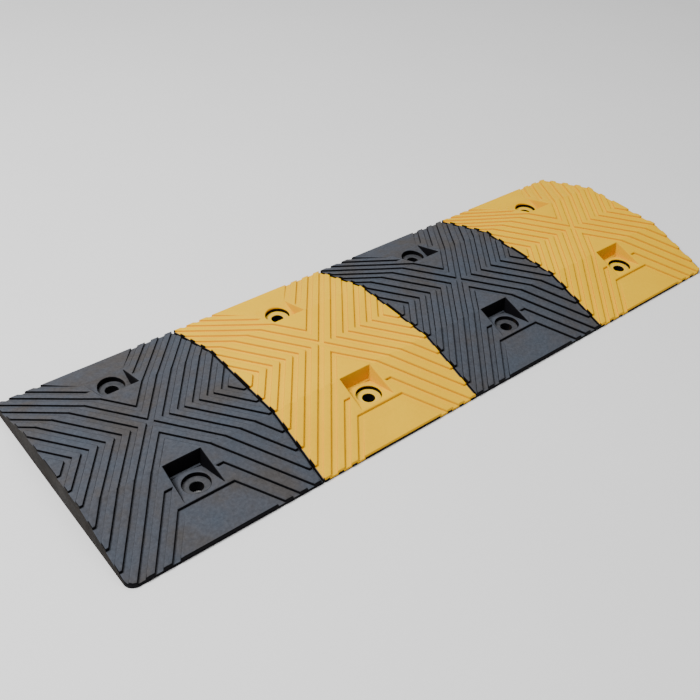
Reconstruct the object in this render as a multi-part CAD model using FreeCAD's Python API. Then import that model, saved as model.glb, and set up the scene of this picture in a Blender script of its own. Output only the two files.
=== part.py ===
import FreeCAD, Part
import os

# Modular rubber speed bump: four tread modules in a row along X, black and yellow in turn.
# Millimetres, +Z up. Origin on the ground at the middle of the whole row.

# Overall row
MODULE_COUNT = 4
MODULE_LENGTH = 249.4
MODULE_GAP = 0.8
MODULE_PITCH = MODULE_LENGTH + MODULE_GAP
ROW_LENGTH = MODULE_COUNT * MODULE_LENGTH + (MODULE_COUNT - 1) * MODULE_GAP

# Cross-section of a module, across the road hump (Y, Z)
HALF_WIDTH = 175.0
EDGE_HEIGHT = 7.0
CROWN_HEIGHT = 40.0
CROWN_HALF_WIDTH = 72.0
CORNER_RADIUS = 12.0

# Tread: ribs and grooves, mirrored about both centre lines of the tread
END_LEDGE = 3.0
LEDGE_DROP = 5.0
TREAD_HALF_LENGTH = (MODULE_LENGTH - END_LEDGE) / 2.0
GROOVE_SLOPE = 1.36
GROOVE_PITCH = 20.4
GROOVE_HALF = 4.6
GROOVE_DEPTH = 3.0
CHEVRONS = (-5, -4, -3, -2, -1, 0)
ARROW = 1
SHORT_ARMS = {2: 100.5, 3: 126.0}
NOTCH_LENGTH = 4.0
PANEL_INNER = 126.0

# Bolt pockets in the two ramps
POCKET_HALF_WIDTH = 24.1
POCKET_FRONT = 123.0
POCKET_BACK = 73.0
POCKET_BACK_FLOOR = 17.0
POCKET_BACK_DRAFT = 0.13
POCKET_SIDE_DRAFT = 0.2
POCKET_SIDE_FLARE = 0.10
POCKET_LIP_WIDTH = 3.0
POCKET_LIP_HEIGHT = 2.5
HOLE_OFFSET = 103.0
HOLE_RADIUS = 8.5
BOSS_RADIUS = 19.5
BOSS_HEIGHT = 21.8
BOSS_FLANK_WIDTH = 14.0
BOSS_FLANK_DROP = 5.0
BOSS_FOOT = 10.0
SEAT_RADIUS = 17.0
SEAT_HEIGHT = 15.0
RING_RADIUS = 16.7
RING_THICKNESS = 1.2

# Yellow facing over the black rubber of the two yellow modules
SKIN = 3.0
SKIN_SIDE = 1.6
SKIN_BOSS = 1.0
END_RIM = 1.0

# Reach of the cutting shapes past the material
HIGH = 60.0
LOW = -10.0
OVERCUT = 5.0
LEDGE_OVERLAP = 1.0


def polygon_prism(points, z_low, z_high):
    """Upright prism on a plan outline given as (x, y) points."""
    corners = [FreeCAD.Vector(x, y, z_low) for x, y in points]
    face = Part.Face(Part.makePolygon(corners + [corners[0]]))
    return face.extrude(FreeCAD.Vector(0, 0, z_high - z_low))


def section_prism(points, x_low, x_high):
    """Prism along X on a section given as (y, z) points."""
    corners = [FreeCAD.Vector(x_low, y, z) for y, z in points]
    face = Part.Face(Part.makePolygon(corners + [corners[0]]))
    return face.extrude(FreeCAD.Vector(x_high - x_low, 0, 0))


def mirror_x(shape):
    return shape.mirror(FreeCAD.Vector(0, 0, 0), FreeCAD.Vector(1, 0, 0))


def mirror_y(shape):
    return shape.mirror(FreeCAD.Vector(0, 0, 0), FreeCAD.Vector(0, 1, 0))


def hump(drop, x_low, x_high, z_low):
    """Solid under the rib tops, with its top lowered by drop."""
    points = [
        (-HALF_WIDTH, z_low),
        (HALF_WIDTH, z_low),
        (HALF_WIDTH, EDGE_HEIGHT - drop),
        (CROWN_HALF_WIDTH, CROWN_HEIGHT - drop),
        (-CROWN_HALF_WIDTH, CROWN_HEIGHT - drop),
        (-HALF_WIDTH, EDGE_HEIGHT - drop),
    ]
    return section_prism(points, x_low, x_high)


def groove_edge_y(x, index, side):
    """Y of one edge of a groove at x in the positive quadrant."""
    return GROOVE_SLOPE * (x + GROOVE_PITCH * index + side)


def groove_edge_x(y, index, side):
    """X of one edge of a groove at y in the positive quadrant."""
    return y / GROOVE_SLOPE - GROOVE_PITCH * index - side


def full_groove(index, grow):
    """Groove outline in one quadrant, from a centre line out to the end or the edge."""
    half = GROOVE_HALF + grow
    far = TREAD_HALF_LENGTH + OVERCUT
    notch = TREAD_HALF_LENGTH - NOTCH_LENGTH
    outline = []
    inner_x = groove_edge_x(0.0, index, -half)
    outer_x = groove_edge_x(0.0, index, half)
    if outer_x >= 0.0:
        outline += [(outer_x, 0.0), (inner_x, 0.0)]
    elif inner_x > 0.0:
        outline += [(0.0, groove_edge_y(0.0, index, half)), (0.0, 0.0), (inner_x, 0.0)]
    else:
        outline += [(0.0, groove_edge_y(0.0, index, half)), (0.0, groove_edge_y(0.0, index, -half))]
    outline += [(notch, groove_edge_y(notch, index, -half)), (far, groove_edge_y(notch, index, -half))]
    outline += [(far, groove_edge_y(far, index, half))]
    return outline


def short_groove(index, inner_y, grow):
    """Groove outline cut off square on the pocket side."""
    half = GROOVE_HALF + grow
    start = inner_y - grow
    outer = HALF_WIDTH + OVERCUT
    return [
        (groove_edge_x(start, index, half), start),
        (groove_edge_x(start, index, -half), start),
        (groove_edge_x(outer, index, -half), outer),
        (groove_edge_x(outer, index, half), outer),
    ]


def arrow_groove(grow):
    """Groove outline from the long centre line out to the road-side edge."""
    half = GROOVE_HALF + grow
    outer = HALF_WIDTH + OVERCUT
    return [
        (0.0, groove_edge_y(0.0, ARROW, -half)),
        (groove_edge_x(outer, ARROW, -half), outer),
        (groove_edge_x(outer, ARROW, half), outer),
        (0.0, groove_edge_y(0.0, ARROW, half)),
    ]


def groove_outlines(grow):
    outlines = [full_groove(index, grow) for index in CHEVRONS]
    outlines.append(arrow_groove(grow))
    for index, inner_y in SHORT_ARMS.items():
        outlines.append(short_groove(index, inner_y, grow))
    return outlines


def tread_layer(drop):
    """Layer between the rib tops and the groove floors, both lowered by drop."""
    span = TREAD_HALF_LENGTH + 2.0 * OVERCUT
    above = hump(-HIGH, -span, span, LOW)
    return above.cut(hump(GROOVE_DEPTH + drop, -span, span, LOW - OVERCUT))


def four_ways(shapes):
    """The shapes of one quadrant and their mirror images in the other three."""
    half = shapes + [mirror_x(shape) for shape in shapes]
    return half + [mirror_y(shape) for shape in half]


def groove_cutters(drop, grow):
    layer = tread_layer(drop)
    quadrant = [polygon_prism(points, LOW, HIGH).common(layer) for points in groove_outlines(grow)]
    return four_ways(quadrant)


def ramp_height(y):
    """Rib-top height on the ramp at a distance y from the long centre line."""
    slope = (CROWN_HEIGHT - EDGE_HEIGHT) / (HALF_WIDTH - CROWN_HALF_WIDTH)
    return EDGE_HEIGHT + slope * (HALF_WIDTH - y)


def panel_cutter(drop, grow):
    """Wedge over the flat outer panel: full groove depth inside, nothing at the edge."""
    inner = PANEL_INNER - grow
    inner_top = ramp_height(inner) - GROOVE_DEPTH - drop
    outer = HALF_WIDTH + OVERCUT
    fall = (inner_top - (EDGE_HEIGHT - drop)) / (HALF_WIDTH - inner)
    section = [
        (inner, inner_top),
        (outer, inner_top - fall * (outer - inner)),
        (outer, HIGH),
        (inner, HIGH),
    ]
    index = max(SHORT_ARMS)
    inner_x = groove_edge_x(inner, index, 0.0)
    outer_x = groove_edge_x(outer, index, 0.0)
    plan = [(-inner_x, inner), (inner_x, inner), (outer_x, outer), (-outer_x, outer)]
    return section_prism(section, -HALF_WIDTH, HALF_WIDTH).common(polygon_prism(plan, LOW, HIGH))


def pocket_floor_height(y):
    """Pocket floor, sloping from the foot of the back wall out to the ramp."""
    front = ramp_height(POCKET_FRONT)
    share = (y - POCKET_BACK) / (POCKET_FRONT - POCKET_BACK)
    return POCKET_BACK_FLOOR + share * (front - POCKET_BACK_FLOOR)


def pocket_half_width(y, z):
    """Half width of the pocket, which narrows downwards and flares towards the road edge."""
    return POCKET_HALF_WIDTH + POCKET_SIDE_FLARE * (y - POCKET_BACK) + POCKET_SIDE_DRAFT * (z - CROWN_HEIGHT)


def pocket_sides(grow):
    """Solid between the pocket's two side walls, on the +Y half."""
    far = HALF_WIDTH + OVERCUT
    near_low, near_high, far_low, far_high = [
        [FreeCAD.Vector(side * (pocket_half_width(y, z) + grow), y, z) for side in (-1, 1)]
        for y in (0.0, far) for z in (LOW, HIGH)
    ]
    outlines = [
        near_low + near_high[::-1],
        far_low + far_high[::-1],
        near_low + far_low[::-1],
        near_high + far_high[::-1],
        [near_low[0], near_high[0], far_high[0], far_low[0]],
        [near_low[1], near_high[1], far_high[1], far_low[1]],
    ]
    faces = [Part.Face(Part.makePolygon(points + [points[0]])) for points in outlines]
    solid = Part.makeSolid(Part.makeShell(faces))
    if solid.Volume < 0.0:
        solid.reverse()
    return solid


def pocket_cutter(drop, grow):
    """Tapered bolt pocket on the +Y ramp, with a small lip at the foot of its back wall."""
    back_top = POCKET_BACK - grow - POCKET_BACK_DRAFT * (HIGH - CROWN_HEIGHT)
    lip_z = POCKET_BACK_FLOOR + POCKET_LIP_HEIGHT - drop
    lip_y = POCKET_BACK - grow + POCKET_BACK_DRAFT * (CROWN_HEIGHT - lip_z)
    foot_y = lip_y + POCKET_LIP_WIDTH
    front_y = POCKET_FRONT + OVERCUT
    section = [
        (back_top, HIGH),
        (lip_y, lip_z),
        (foot_y, lip_z),
        (foot_y, pocket_floor_height(foot_y) - drop),
        (front_y, pocket_floor_height(front_y) - drop),
        (front_y, HIGH),
    ]
    return section_prism(section, -HALF_WIDTH, HALF_WIDTH).common(pocket_sides(grow))


def bolt_boss(drop, grow):
    """Level boss around the bolt hole, with a gentle flank and a solid foot. The facing is thin here."""
    top = BOSS_HEIGHT - min(drop, SKIN_BOSS)
    shoulder = top - BOSS_FLANK_DROP
    radius = BOSS_RADIUS - grow
    spread = radius + BOSS_FLANK_WIDTH
    cone = Part.makeCone(spread, radius, BOSS_FLANK_DROP, FreeCAD.Vector(0, HOLE_OFFSET, shoulder))
    foot = Part.makeCylinder(spread, shoulder - BOSS_FOOT, FreeCAD.Vector(0, HOLE_OFFSET, BOSS_FOOT))
    reach = Part.makeBox(2.0 * HALF_WIDTH, POCKET_FRONT, HIGH, FreeCAD.Vector(-HALF_WIDTH, 0, 0))
    return cone.fuse(foot).common(reach)


def relief(drop, grow):
    """One tread module's solid, before its bolt holes. Its low ledge at the +X end has no facing."""
    low_x = -TREAD_HALF_LENGTH
    high_x = TREAD_HALF_LENGTH
    body = hump(drop, low_x, high_x, 0.0)
    cutters = groove_cutters(drop, grow)
    for cutter in (panel_cutter(drop, grow), pocket_cutter(drop, grow)):
        cutters += [cutter, mirror_y(cutter)]
    body = body.cut(cutters)
    boss = bolt_boss(drop, grow)
    ledge = hump(LEDGE_DROP, high_x - LEDGE_OVERLAP, high_x + END_LEDGE, 0.0)
    return body.fuse([boss, mirror_y(boss), ledge]).removeSplitter()


def bolt_cutters():
    """Through hole and counterbore at both ends of the module."""
    cutters = []
    for y in (-HOLE_OFFSET, HOLE_OFFSET):
        cutters.append(Part.makeCylinder(HOLE_RADIUS, HIGH, FreeCAD.Vector(0, y, LOW)))
        cutters.append(Part.makeCylinder(SEAT_RADIUS, HIGH, FreeCAD.Vector(0, y, SEAT_HEIGHT)))
    return cutters


def corner_cutters(end):
    """Trims that round the two plan corners at a free end of the row (-1 or +1)."""
    outer = TREAD_HALF_LENGTH if end < 0 else TREAD_HALF_LENGTH + END_LEDGE
    centre_x = end * (outer - CORNER_RADIUS)
    cutters = []
    for side in (-1, 1):
        centre_y = side * (HALF_WIDTH - CORNER_RADIUS)
        size = CORNER_RADIUS + OVERCUT
        box_x = min(centre_x, centre_x + end * size)
        box_y = min(centre_y, centre_y + side * size)
        box = Part.makeBox(size, size, HIGH, FreeCAD.Vector(box_x, box_y, LOW))
        drum = Part.makeCylinder(CORNER_RADIUS, HIGH, FreeCAD.Vector(centre_x, centre_y, LOW))
        cutters.append(box.cut(drum))
    return cutters


def place(shape, number):
    """Move a module-local shape to its place in the row."""
    start = -ROW_LENGTH / 2.0 + (number - 1) * MODULE_PITCH
    moved = shape.copy()
    moved.translate(FreeCAD.Vector(start + TREAD_HALF_LENGTH, 0, 0))
    return moved


def trims(number):
    cutters = bolt_cutters()
    if number == 1:
        cutters += corner_cutters(-1)
    if number == MODULE_COUNT:
        cutters += corner_cutters(1)
    return cutters


def seat_ring(y):
    """Flat ring lying on the counterbore floor."""
    base = FreeCAD.Vector(0, y, SEAT_HEIGHT)
    outer = Part.makeCylinder(RING_RADIUS, RING_THICKNESS, base)
    return outer.cut(Part.makeCylinder(HOLE_RADIUS, RING_THICKNESS, base))


def facing(outer):
    """Yellow layer over a module's relief, stopping short of its -X end face."""
    rim = Part.makeBox(END_RIM, 4.0 * HALF_WIDTH, HIGH,
                       FreeCAD.Vector(-TREAD_HALF_LENGTH, -2.0 * HALF_WIDTH, LOW))
    return outer.cut(relief(SKIN, SKIN_SIDE)).cut(rim)


def save(shape, node):
    solids = shape.Solids
    if len(solids) == 1:
        shape = solids[0]
    shape.exportStep("parts/" + node + ".step")
    print(node, len(solids), round(shape.Volume), shape.isValid(), shape.BoundBox)


def main():
    os.makedirs("parts", exist_ok=True)
    outer = relief(0.0, 0.0)
    skin = facing(outer)
    core = outer.cut(skin)
    for number in range(1, MODULE_COUNT + 1):
        if number % 2:
            save(place(outer.cut(trims(number)), number), "black_module_%d" % number)
        else:
            save(place(core.cut(trims(number)), number), "yellow_module_%d_base" % number)
            save(place(skin.cut(trims(number)), number), "yellow_module_%d_tread" % number)
        save(place(seat_ring(-HOLE_OFFSET), number), "seat_ring_front_%d" % number)
        save(place(seat_ring(HOLE_OFFSET), number), "seat_ring_rear_%d" % number)


main()
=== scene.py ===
import math

import bmesh
import bpy
from mathutils import Matrix, Vector, noise


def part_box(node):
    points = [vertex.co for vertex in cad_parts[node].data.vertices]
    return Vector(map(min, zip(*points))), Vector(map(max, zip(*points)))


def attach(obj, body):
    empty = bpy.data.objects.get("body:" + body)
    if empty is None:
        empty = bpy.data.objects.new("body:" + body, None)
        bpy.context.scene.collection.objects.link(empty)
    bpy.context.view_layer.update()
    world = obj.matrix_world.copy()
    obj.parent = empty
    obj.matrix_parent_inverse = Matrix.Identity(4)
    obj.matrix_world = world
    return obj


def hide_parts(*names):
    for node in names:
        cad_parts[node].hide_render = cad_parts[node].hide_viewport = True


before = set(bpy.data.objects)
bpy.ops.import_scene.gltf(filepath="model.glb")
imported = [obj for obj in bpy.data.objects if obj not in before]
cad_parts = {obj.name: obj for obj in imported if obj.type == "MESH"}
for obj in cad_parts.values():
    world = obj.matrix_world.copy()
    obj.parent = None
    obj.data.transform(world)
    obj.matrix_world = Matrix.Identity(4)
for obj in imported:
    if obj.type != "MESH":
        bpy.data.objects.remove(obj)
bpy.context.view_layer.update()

# Rubber speed bump: two black and two yellow tread modules in a row along X. Metres, Z up.
# Each module is its black body's node, and its yellow facing's node if it has one.

MODULES = (
    ("black_module_1", None),
    ("yellow_module_2_base", "yellow_module_2_tread"),
    ("black_module_3", None),
    ("yellow_module_4_base", "yellow_module_4_tread"),
)

# Rounding of the tread's edges, of a black body's under a yellow facing, and of the pocket floors' edges
RIB_ROUND = 0.0010
BASE_ROUND = 0.0004
POCKET_ROUND = 0.0004
ROUND_SEGMENTS = 2
ROUND_PROFILE = 0.5

# An edge counts as a pocket floor's within this distance of the middle line and below this height
POCKET_REACH = 0.123
POCKET_LEVEL = 0.0225

# An edge is rounded above this angle, if neither face looks down and at least one looks up
ROUNDED_ANGLE = math.radians(25.0)
LOWEST_NORMAL = -0.1
UPPER_NORMAL = 0.3

# Welding, joining of flat faces, folds that stay crisp, and how far large faces steer the shading
WELD = 2e-6
FLAT_ANGLE = math.radians(0.6)
CREASE_ANGLE = math.radians(50.0)
NORMAL_WEIGHT = 100

# Uneven surface of the moulded rubber, above the ground level. Above the crown level it is only lowered.
GRID_STEP = 0.006
SLICE_TOLERANCE = 1e-7
SWELL_HEIGHT = 0.00022
SWELL_SCALE = 22.0
RIPPLE_HEIGHT = 0.00006
RIPPLE_SCALE = 110.0
GROUND_LEVEL = 0.001
CROWN_LEVEL = 0.0395

# Seat rings. The shoulder is the middle point of a rim's rounding, as a share of its radius.
RING_STEPS = 72
RING_ROUND = 0.0005
RING_SHOULDER = 0.3
HOLE_RADIUS = 0.0085

# Noise patterns: scale, detail, roughness
BLACK_PATCHES = (16.0, 4.0, 0.6)
BLACK_FLECKS = (260.0, 5.0, 0.7)
SOIL = (70.0, 4.0, 0.65)
YELLOW_PATCHES = (11.0, 4.0, 0.55)
YELLOW_FLECKS = (240.0, 5.0, 0.7)
SEAT_RUB = (180.0, 4.0, 0.6)
FLOOR_TONE = (3.0, 2.0, 0.5)
BUMP_GRAIN = (950.0, 3.0, 0.6)
BUMP_WAVES = (140.0, 2.0, 0.5)

# Colour stops along a noise pattern
# Black tops: dust, with painted sheen that makes them lighter
DUST_AND_SHEEN_TOPS = (
    (0.36, (0.074, 0.070, 0.070)),
    (0.50, (0.073, 0.077, 0.090)),
    (0.66, (0.068, 0.079, 0.099)),
)
SOILED_ENDS = (
    (0.35, (0.007, 0.0056, 0.0045)),
    (0.70, (0.016, 0.0115, 0.008)),
)
YELLOW_TOPS = (
    (0.34, (0.90, 0.50, 0.0)),
    (0.50, (0.93, 0.525, 0.0)),
    (0.68, (0.95, 0.55, 0.0)),
)
BLACK_SEAT = (
    (0.35, (0.034, 0.037, 0.043)),
    (0.65, (0.055, 0.055, 0.062)),
)
YELLOW_SEAT = (
    (0.35, (0.87, 0.52, 0.01)),
    (0.65, (0.92, 0.57, 0.03)),
)
FLOOR_TONES = (
    (0.30, (0.93, 0.93, 0.93)),
    (0.70, (0.95, 0.95, 0.95)),
)

# Colours of the walls and rounded edges, darkened as painted shade: the black one is clean rubber made
# darker still, the yellow one a darker orange
BLACK_SHADED_WALLS = (0.0045, 0.0043, 0.0055)
YELLOW_SHADED_WALLS = (0.77, 0.39, 0.0)

# Parts of a noise pattern's range, and what they turn into
FLECK_SPAN = (0.35, 0.75)
GLOSS_SPAN = (0.3, 0.7)
BLACK_FLECK_SHADE = (0.80, 1.2)
YELLOW_FLECK_SHADE = (0.96, 1.02)
BLACK_ROUGHNESS = (0.55, 0.72)
YELLOW_ROUGHNESS = (0.5, 0.64)
SEAT_ROUGHNESS = (0.45, 0.6)

# Parts of the normal's Z and X that fade a wall's painted shade, also painted on rounded edges as dark
# lines, into a top, and a wall into the row's free end
WALL_SHADE_SPAN = (0.86, 0.950)
END_SPAN = (-0.983, -0.995)

# Shine and fine relief
BLACK_SPECULAR = 0.04
YELLOW_SPECULAR = 0.06
FLOOR_SPECULAR = 0.1
FLOOR_ROUGHNESS = 0.9
BLACK_BUMP = 0.35
YELLOW_BUMP = 0.2
SEAT_BUMP = 0.3
BUMP_DISTANCE = 0.0004
GRAIN_SHARE = 0.35

# Studio. A light is its name, place, size and power, and points at the middle of the row.
FLOOR_SIZE = 12.0
WORLD_COLOR = (1.0, 1.0, 1.0, 1.0)
WORLD_STRENGTH = 0.32
LIGHT_TARGET = Vector((0.0, 0.0, 0.0))
LIGHTS = (
    ("key", (-1.6, 0.5, 2.4), 0.9, 100.0),
    ("top", (0.3, 0.2, 3.0), 2.4, 28.0),
)
CAMERA_PLACE = Vector((-0.7282, -0.8180, 0.8630))
CAMERA_HEADING = math.radians(45.97)
CAMERA_DOWN = math.radians(36.60)
CAMERA_ROLL = math.radians(4.796)
CAMERA_LENS = 50.2
CAMERA_SENSOR = 36.0
CAMERA_SHIFT = (-0.1096, -0.0635)


# ---------------------------------------------------------------- shapes

def clean_copy(node_name):
    """A welded copy of a CAD node with its flat faces joined up again."""
    bm = bmesh.new()
    bm.from_mesh(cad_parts[node_name].data)
    bmesh.ops.remove_doubles(bm, verts=bm.verts, dist=WELD)
    bmesh.ops.dissolve_limit(bm, angle_limit=FLAT_ANGLE, verts=bm.verts, edges=bm.edges)
    bm.normal_update()
    return bm


def outer_edge(edge):
    """True for a sharp outward edge that can be seen from above or the side."""
    if len(edge.link_faces) != 2 or not edge.is_convex:
        return False
    first, second = (face.normal for face in edge.link_faces)
    if first.angle(second) < ROUNDED_ANGLE:
        return False
    return min(first.z, second.z) > LOWEST_NORMAL and max(first.z, second.z) > UPPER_NORMAL


def in_pocket(edge):
    """True for an edge down on the floor of a bolt pocket."""
    return all(abs(vert.co.y) < POCKET_REACH and vert.co.z < POCKET_LEVEL for vert in edge.verts)


def round_edges(bm, radius, pocket):
    """Round the outward edges on the pocket floors, or all the others."""
    edges = [edge for edge in bm.edges if in_pocket(edge) == pocket and outer_edge(edge)]
    bmesh.ops.bevel(
        bm, geom=edges, offset=radius, offset_type="OFFSET", segments=ROUND_SEGMENTS,
        profile=ROUND_PROFILE, affect="EDGES", clamp_overlap=False, loop_slide=True,
    )
    bm.normal_update()


def mark_creases(bm):
    """Keep steep folds, such as the feet of walls, crisp where surfaces are shaded smooth."""
    for edge in bm.edges:
        if len(edge.link_faces) == 2 and edge.calc_face_angle() > CREASE_ANGLE:
            edge.smooth = False


def slice_faces(bm):
    """Cut the mesh on an even grid, so that its surface can swell and ripple."""
    for axis in (0, 1):
        low = min(vert.co[axis] for vert in bm.verts)
        high = max(vert.co[axis] for vert in bm.verts)
        count = int((high - low) / GRID_STEP)
        normal = Vector((1.0, 0.0, 0.0) if axis == 0 else (0.0, 1.0, 0.0))
        for index in range(1, count):
            point = normal * (low + (high - low) * index / count)
            geometry = bm.verts[:] + bm.edges[:] + bm.faces[:]
            bmesh.ops.bisect_plane(
                bm, geom=geometry, dist=SLICE_TOLERANCE, plane_co=point, plane_no=normal,
            )


def swell(bm):
    """Lift and lower the tread a little, as moulded rubber does."""
    for vert in bm.verts:
        if vert.co.z < GROUND_LEVEL:
            continue
        broad = noise.noise(vert.co * SWELL_SCALE) * SWELL_HEIGHT
        fine = noise.noise(vert.co * RIPPLE_SCALE) * RIPPLE_HEIGHT
        vert.co.z += min(broad + fine, 0.0) if vert.co.z > CROWN_LEVEL else broad + fine


def finish_piece(bm, name, node_name, material):
    """Turn a mesh into the visible piece that stands in for a CAD node."""
    mesh = bpy.data.meshes.new(name)
    bm.to_mesh(mesh)
    bm.free()
    for polygon in mesh.polygons:
        polygon.use_smooth = True
    mesh.materials.append(material)
    piece = bpy.data.objects.new(name, mesh)
    bpy.context.scene.collection.objects.link(piece)
    weighted = piece.modifiers.new("weighted_normals", "WEIGHTED_NORMAL")
    weighted.weight = NORMAL_WEIGHT
    weighted.keep_sharp = True
    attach(piece, "root")
    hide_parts(node_name)


def moulded_piece(node_name, material, radius, rounds_pockets):
    """A module's body or facing, with rounded edges and an uneven surface."""
    bm = clean_copy(node_name)
    if rounds_pockets:
        round_edges(bm, POCKET_ROUND, True)
    round_edges(bm, radius, False)
    slice_faces(bm)
    swell(bm)
    mark_creases(bm)
    finish_piece(bm, node_name + "_rubber", node_name, material)


def seat_ring(node_name, material):
    """A turned ring with rounded rims, standing on the counterbore floor."""
    low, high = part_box(node_name)
    centre = (low + high) / 2.0
    flat = Vector((centre.x, centre.y, 0.0))
    outer = (high.x - low.x) / 2.0
    top = high.z
    shoulder = RING_ROUND * RING_SHOULDER
    profile = (
        (HOLE_RADIUS, low.z),
        (HOLE_RADIUS, top - RING_ROUND),
        (HOLE_RADIUS + shoulder, top - shoulder),
        (HOLE_RADIUS + RING_ROUND, top),
        (outer - RING_ROUND, top),
        (outer - shoulder, top - shoulder),
        (outer, top - RING_ROUND),
        (outer, low.z),
    )
    bm = bmesh.new()
    rows = []
    for step in range(RING_STEPS):
        angle = 2.0 * math.pi * step / RING_STEPS
        spoke = Vector((math.cos(angle), math.sin(angle), 0.0))
        rows.append([bm.verts.new(flat + spoke * r + Vector((0.0, 0.0, z))) for r, z in profile])
    for step in range(RING_STEPS):
        here = rows[step]
        there = rows[(step + 1) % RING_STEPS]
        for index in range(len(profile)):
            following = (index + 1) % len(profile)
            bm.faces.new((here[index], there[index], there[following], here[following]))
    bmesh.ops.recalc_face_normals(bm, faces=bm.faces)
    finish_piece(bm, node_name + "_seat", node_name, material)


# ---------------------------------------------------------------- materials

def new_material(name):
    """A new material, with its nodes, links and shader."""
    material = bpy.data.materials.new(name)
    material.use_nodes = True
    nodes = material.node_tree.nodes
    shader = nodes["Principled BSDF"]
    return material, nodes, material.node_tree.links, shader


def noise_node(nodes, links, coordinates, pattern):
    """Noise from 0 to 1 in one of the patterns named at the top."""
    scale, detail, roughness = pattern
    node = nodes.new("ShaderNodeTexNoise")
    node.inputs["Scale"].default_value = scale
    node.inputs["Detail"].default_value = detail
    node.inputs["Roughness"].default_value = roughness
    links.new(coordinates, node.inputs["Vector"])
    return node.outputs["Fac"]


def ramp_node(nodes, links, value, stops):
    """Colours that follow a value through the given stops."""
    node = nodes.new("ShaderNodeValToRGB")
    ramp = node.color_ramp
    for position, _ in stops[1:-1]:
        ramp.elements.new(position)
    for element, (position, color) in zip(ramp.elements, stops):
        element.position = position
        element.color = (*color, 1.0)
    links.new(value, node.inputs["Fac"])
    return node.outputs["Color"]


def mix_node(nodes, links, factor, first, second, blend="MIX"):
    """Two colours mixed or multiplied. Each input is a plain value or another node's output."""
    node = nodes.new("ShaderNodeMix")
    node.data_type = "RGBA"
    node.blend_type = blend
    sockets = {"Factor": node.inputs[0], "A": node.inputs[6], "B": node.inputs[7]}
    for key, value in (("Factor", factor), ("A", first), ("B", second)):
        if hasattr(value, "is_linked"):
            links.new(value, sockets[key])
        elif key == "Factor":
            sockets[key].default_value = value
        else:
            sockets[key].default_value = (*value, 1.0)
    return node.outputs[2]


def value_range(nodes, links, value, span, result=(0.0, 1.0)):
    """A value's span stretched over the result's two ends, and held at them outside it."""
    node = nodes.new("ShaderNodeMapRange")
    node.inputs["From Min"].default_value = span[0]
    node.inputs["From Max"].default_value = span[1]
    node.inputs["To Min"].default_value = result[0]
    node.inputs["To Max"].default_value = result[1]
    links.new(value, node.inputs["Value"])
    return node.outputs["Result"]


def surface_normal(nodes, links):
    """The surface normal's X, Y and Z."""
    geometry = nodes.new("ShaderNodeNewGeometry")
    split = nodes.new("ShaderNodeSeparateXYZ")
    links.new(geometry.outputs["Normal"], split.inputs[0])
    return split.outputs


def unshaded_top_mask(nodes, links):
    """0 on walls and rounded edges, which get painted shade, and 1 on surfaces that face the sky."""
    return value_range(nodes, links, surface_normal(nodes, links)["Z"], WALL_SHADE_SPAN)


def end_facing(nodes, links):
    """1 on walls that face -X, as the row's free end does, and 0 elsewhere."""
    return value_range(nodes, links, surface_normal(nodes, links)["X"], END_SPAN)


def object_coordinates(nodes):
    return nodes.new("ShaderNodeTexCoord").outputs["Object"]


def rubber_bump(nodes, links, shader, coordinates, strength):
    """Fine moulded grain over broader waves."""
    grain = noise_node(nodes, links, coordinates, BUMP_GRAIN)
    waves = noise_node(nodes, links, coordinates, BUMP_WAVES)
    total = nodes.new("ShaderNodeMath")
    total.operation = "MULTIPLY_ADD"
    total.inputs[1].default_value = GRAIN_SHARE
    links.new(waves, total.inputs[2])
    links.new(grain, total.inputs[0])
    bump = nodes.new("ShaderNodeBump")
    bump.inputs["Strength"].default_value = strength
    bump.inputs["Distance"].default_value = BUMP_DISTANCE
    links.new(total.outputs[0], bump.inputs["Height"])
    links.new(bump.outputs["Normal"], shader.inputs["Normal"])


def black_rubber():
    """Dark rubber with dust and painted sheen on its upper faces, in bluish and brownish patches, and
    painted shade on its walls and rounded edges.
    """
    material, nodes, links, shader = new_material("black_rubber")
    where = object_coordinates(nodes)
    patches = noise_node(nodes, links, where, BLACK_PATCHES)
    dust_and_sheen = ramp_node(nodes, links, patches, DUST_AND_SHEEN_TOPS)
    flecks = noise_node(nodes, links, where, BLACK_FLECKS)
    shade = value_range(nodes, links, flecks, FLECK_SPAN, BLACK_FLECK_SHADE)
    speckled = mix_node(nodes, links, 1.0, dust_and_sheen, shade, "MULTIPLY")
    soil = noise_node(nodes, links, where, SOIL)
    soiled = ramp_node(nodes, links, soil, SOILED_ENDS)
    # Painted shade on walls and rounded edges, except the row's free end, which is soiled; tops get dust
    # and painted sheen
    walls = mix_node(nodes, links, end_facing(nodes, links), BLACK_SHADED_WALLS, soiled)
    color = mix_node(nodes, links, unshaded_top_mask(nodes, links), walls, speckled)
    links.new(color, shader.inputs["Base Color"])
    rough = value_range(nodes, links, patches, GLOSS_SPAN, BLACK_ROUGHNESS)
    links.new(rough, shader.inputs["Roughness"])
    shader.inputs["Specular IOR Level"].default_value = BLACK_SPECULAR
    rubber_bump(nodes, links, shader, where, BLACK_BUMP)
    return material


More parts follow.
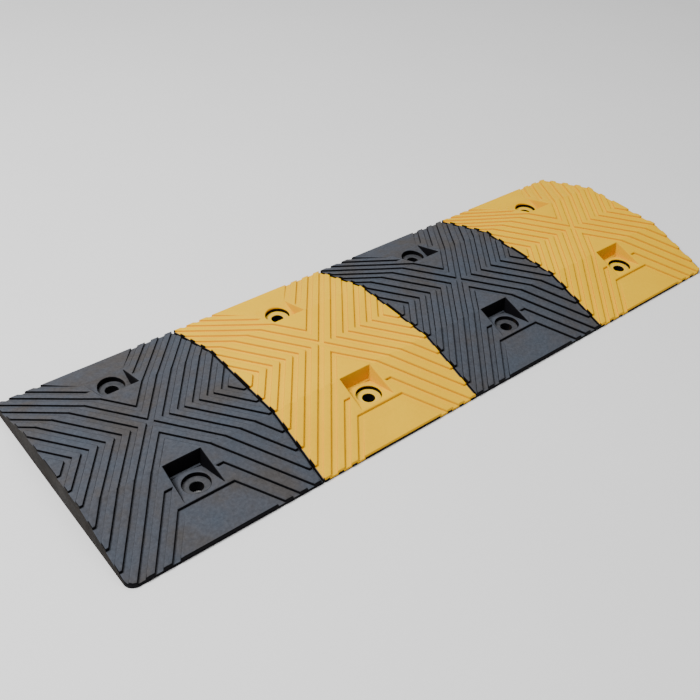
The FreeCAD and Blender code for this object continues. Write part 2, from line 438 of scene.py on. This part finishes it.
def yellow_rubber():
    """Yellow facing rubber, paler where it faces the sky, with painted shade in a darker orange on its
    walls and rounded edges.
    """
    material, nodes, links, shader = new_material("yellow_rubber")
    where = object_coordinates(nodes)
    patches = noise_node(nodes, links, where, YELLOW_PATCHES)
    tops = ramp_node(nodes, links, patches, YELLOW_TOPS)
    flecks = noise_node(nodes, links, where, YELLOW_FLECKS)
    shade = value_range(nodes, links, flecks, FLECK_SPAN, YELLOW_FLECK_SHADE)
    speckled = mix_node(nodes, links, 1.0, tops, shade, "MULTIPLY")
    # Painted shade: darker orange on walls and rounded edges
    color = mix_node(nodes, links, unshaded_top_mask(nodes, links), YELLOW_SHADED_WALLS, speckled)
    links.new(color, shader.inputs["Base Color"])
    rough = value_range(nodes, links, patches, GLOSS_SPAN, YELLOW_ROUGHNESS)
    links.new(rough, shader.inputs["Roughness"])
    shader.inputs["Specular IOR Level"].default_value = YELLOW_SPECULAR
    rubber_bump(nodes, links, shader, where, YELLOW_BUMP)
    return material


def seat_material(name, tones):
    """Bare seat around a bolt hole, rubbed and with a little dust."""
    material, nodes, links, shader = new_material(name)
    where = object_coordinates(nodes)
    rub = noise_node(nodes, links, where, SEAT_RUB)
    color = ramp_node(nodes, links, rub, tones)
    links.new(color, shader.inputs["Base Color"])
    rough = value_range(nodes, links, rub, GLOSS_SPAN, SEAT_ROUGHNESS)
    links.new(rough, shader.inputs["Roughness"])
    rubber_bump(nodes, links, shader, where, SEAT_BUMP)
    return material


def floor_material():
    """Nearly even, pale and matt."""
    material, nodes, links, shader = new_material("pale_floor")
    where = object_coordinates(nodes)
    tone = noise_node(nodes, links, where, FLOOR_TONE)
    color = ramp_node(nodes, links, tone, FLOOR_TONES)
    links.new(color, shader.inputs["Base Color"])
    shader.inputs["Roughness"].default_value = FLOOR_ROUGHNESS
    shader.inputs["Specular IOR Level"].default_value = FLOOR_SPECULAR
    return material


# ---------------------------------------------------------------- studio

def add_floor():
    """Square floor at ground height."""
    mesh = bpy.data.meshes.new("floor")
    half = FLOOR_SIZE / 2.0
    corners = [(-half, -half, 0.0), (half, -half, 0.0), (half, half, 0.0), (-half, half, 0.0)]
    mesh.from_pydata(corners, [], [(0, 1, 2, 3)])
    floor = bpy.data.objects.new("floor", mesh)
    bpy.context.scene.collection.objects.link(floor)
    mesh.materials.append(floor_material())


def add_light(name, place, size, power):
    """Square white area light."""
    data = bpy.data.lights.new(name, "AREA")
    data.shape = "SQUARE"
    data.size = size
    data.energy = power
    light = bpy.data.objects.new(name, data)
    light.location = place
    light.rotation_euler = (LIGHT_TARGET - Vector(place)).to_track_quat("-Z", "Y").to_euler()
    bpy.context.scene.collection.objects.link(light)


def add_world():
    """Even white light from all sides."""
    world = bpy.data.worlds.new("studio")
    world.use_nodes = True
    background = world.node_tree.nodes["Background"]
    background.inputs["Color"].default_value = WORLD_COLOR
    background.inputs["Strength"].default_value = WORLD_STRENGTH
    bpy.context.scene.world = world


def add_camera():
    """Camera looking along a heading and downward angle, with a small roll."""
    forward = Vector((
        math.cos(CAMERA_HEADING) * math.cos(CAMERA_DOWN),
        math.sin(CAMERA_HEADING) * math.cos(CAMERA_DOWN),
        -math.sin(CAMERA_DOWN),
    ))
    level = forward.cross(Vector((0.0, 0.0, 1.0))).normalized()
    up = level.cross(forward)
    right = level * math.cos(CAMERA_ROLL) + up * math.sin(CAMERA_ROLL)
    top = up * math.cos(CAMERA_ROLL) - level * math.sin(CAMERA_ROLL)
    data = bpy.data.cameras.new("camera")
    data.lens = CAMERA_LENS
    data.sensor_width = CAMERA_SENSOR
    data.shift_x, data.shift_y = CAMERA_SHIFT
    camera = bpy.data.objects.new("camera", data)
    camera.matrix_world = Matrix((
        (right.x, top.x, -forward.x, CAMERA_PLACE.x),
        (right.y, top.y, -forward.y, CAMERA_PLACE.y),
        (right.z, top.z, -forward.z, CAMERA_PLACE.z),
        (0.0, 0.0, 0.0, 1.0),
    ))
    bpy.context.scene.collection.objects.link(camera)
    bpy.context.scene.camera = camera


# ---------------------------------------------------------------- build

def build_bump():
    """All four modules with their seat rings."""
    black = black_rubber()
    yellow = yellow_rubber()
    black_seat = seat_material("black_seat", BLACK_SEAT)
    yellow_seat = seat_material("yellow_seat", YELLOW_SEAT)
    for number, (base, tread) in enumerate(MODULES, 1):
        if tread:
            moulded_piece(base, black, BASE_ROUND, rounds_pockets=False)
            moulded_piece(tread, yellow, RIB_ROUND, rounds_pockets=True)
        else:
            moulded_piece(base, black, RIB_ROUND, rounds_pockets=True)
        seat = yellow_seat if tread else black_seat
        for end in ("front", "rear"):
            seat_ring("seat_ring_%s_%d" % (end, number), seat)


build_bump()
add_floor()
add_world()
for light_settings in LIGHTS:
    add_light(*light_settings)
add_camera()
